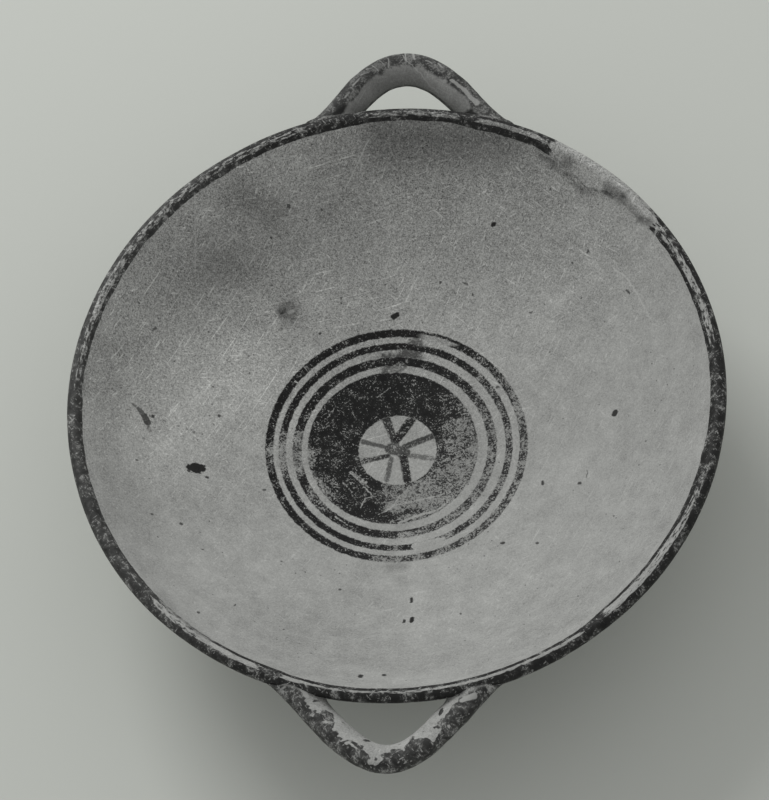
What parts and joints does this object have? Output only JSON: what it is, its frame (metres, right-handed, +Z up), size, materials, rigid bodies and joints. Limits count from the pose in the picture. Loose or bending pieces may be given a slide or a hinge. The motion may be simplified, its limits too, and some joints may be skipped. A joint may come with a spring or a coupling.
{
  "type": "pottery bowl",
  "caption": "Shallow two-handled pottery bowl on a low ring foot, hollow and empty, with a rounded lip, horizontal loop handles and a painted medallion inside.",
  "frame": {"origin": "centre of the ring foot's underside, on the surface the bowl stands on", "axes": "+Z up; +Y and -Y through the tips of the two loop handles; +X across them"},
  "size_m": [0.2076, 0.256, 0.0531],
  "materials": {
    "pottery": "matt fired clay, light grey buff, with worn dark slip on the lip, the handles, the rings and the medallion"
  },
  "bodies": {
    "root": {"bowl": "pottery"}
  },
  "joints": []
}
